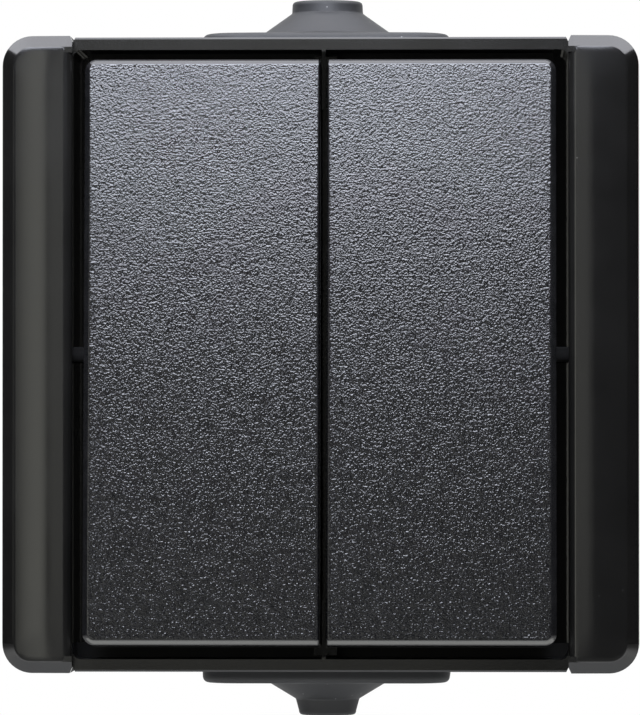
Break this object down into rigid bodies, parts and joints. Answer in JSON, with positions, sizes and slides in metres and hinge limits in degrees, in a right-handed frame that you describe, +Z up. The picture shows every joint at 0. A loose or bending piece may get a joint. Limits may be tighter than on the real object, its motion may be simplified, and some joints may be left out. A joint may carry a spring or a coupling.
{
  "type": "double light switch",
  "caption": "Surface-mounted splash-proof light switch with side-by-side grained rockers in a frame with raised side bars, on a box with soft cable entries above and below.",
  "frame": {"origin": "middle of the back face that lies on the wall", "axes": "+Z up the wall, +Y into the wall, +X to the right seen from the front; the rockers face -Y"},
  "size_m": [0.066, 0.0501, 0.0773],
  "materials": {
    "cover_plastic": "smooth satin black moulding",
    "rocker_plastic": "leather-grained anthracite moulding",
    "base_plastic": "fine-textured black moulding",
    "soft_seal": "soft dark elastomer",
    "insert_plastic": "grey heat-proof moulding",
    "actuator_plastic": "pale natural moulding",
    "brass_strip": "stamped brass",
    "contact_metal": "bright contact rivet",
    "plated_steel": "zinc-plated steel"
  },
  "bodies": {
    "housing": {"base_box": "base_plastic", "cover_gasket": "soft_seal", "cover_frame": "cover_plastic", "upper_cable_grommet": "soft_seal", "lower_cable_grommet": "soft_seal", "insert_base": "insert_plastic", "insert_bridge": "insert_plastic", "line_busbar": "brass_strip", "left_load_strip": "brass_strip", "right_load_strip": "brass_strip", "fixed_contacts": "contact_metal", "line_clamp": "plated_steel", "left_load_clamp": "plated_steel", "right_load_clamp": "plated_steel", "terminal_screws": "plated_steel", "insert_screws": "plated_steel", "bridge_screws": "plated_steel", "cover_screws": "plated_steel"},
    "left_rocker": {"left_rocker": "rocker_plastic"},
    "left_actuator": {"left_actuator": "actuator_plastic", "left_plunger_spring": "plated_steel"},
    "left_plunger": {"left_plunger": "actuator_plastic"},
    "left_contact": {"left_contact_lever": "brass_strip", "left_moving_contact": "contact_metal"},
    "right_rocker": {"right_rocker": "rocker_plastic"},
    "right_actuator": {"right_actuator": "actuator_plastic", "right_plunger_spring": "plated_steel"},
    "right_plunger": {"right_plunger": "actuator_plastic"},
    "right_contact": {"right_contact_lever": "brass_strip", "right_moving_contact": "contact_metal"}
  },
  "joints": [
    {"name": "left_rocker_tilt", "type": "hinge", "parent": "housing", "child": "left_rocker", "pos_m": [-0.012, -0.0435, 0], "axis": [1, 0, 0], "range_deg": [0, 8]},
    {"name": "left_actuator_swing", "type": "hinge", "parent": "housing", "child": "left_actuator", "pos_m": [-0.011, -0.029, 0], "axis": [1, 0, 0], "range_deg": [-13.09, 0]},
    {"name": "left_contact_flip", "type": "hinge", "parent": "housing", "child": "left_contact", "pos_m": [-0.011, -0.0166, 0], "axis": [1, 0, 0], "range_deg": [0, 15.6]},
    {"name": "left_plunger_press", "type": "slide", "parent": "left_actuator", "child": "left_plunger", "axis": [0, -0.9935, -0.114], "range_m": [0, 0.0005], "stiffness_N_per_m": 400, "deforming": ["left_plunger_spring"]},
    {"name": "right_rocker_tilt", "type": "hinge", "parent": "housing", "child": "right_rocker", "pos_m": [0.012, -0.0435, 0], "axis": [1, 0, 0], "range_deg": [0, 8]},
    {"name": "right_actuator_swing", "type": "hinge", "parent": "housing", "child": "right_actuator", "pos_m": [0.011, -0.029, 0], "axis": [1, 0, 0], "range_deg": [-13.09, 0]},
    {"name": "right_contact_flip", "type": "hinge", "parent": "housing", "child": "right_contact", "pos_m": [0.011, -0.0166, 0], "axis": [1, 0, 0], "range_deg": [0, 15.6]},
    {"name": "right_plunger_press", "type": "slide", "parent": "right_actuator", "child": "right_plunger", "axis": [0, -0.9935, -0.114], "range_m": [0, 0.0005], "stiffness_N_per_m": 400, "deforming": ["right_plunger_spring"]}
  ],
  "couplings": [
    {"joint": "left_actuator_swing", "follows": "left_rocker_tilt", "ratio": -1.6364},
    {"joint": "left_contact_flip", "follows": "left_rocker_tilt", "ratio": 1.95},
    {"joint": "right_actuator_swing", "follows": "right_rocker_tilt", "ratio": -1.6364},
    {"joint": "right_contact_flip", "follows": "right_rocker_tilt", "ratio": 1.95}
  ]
}
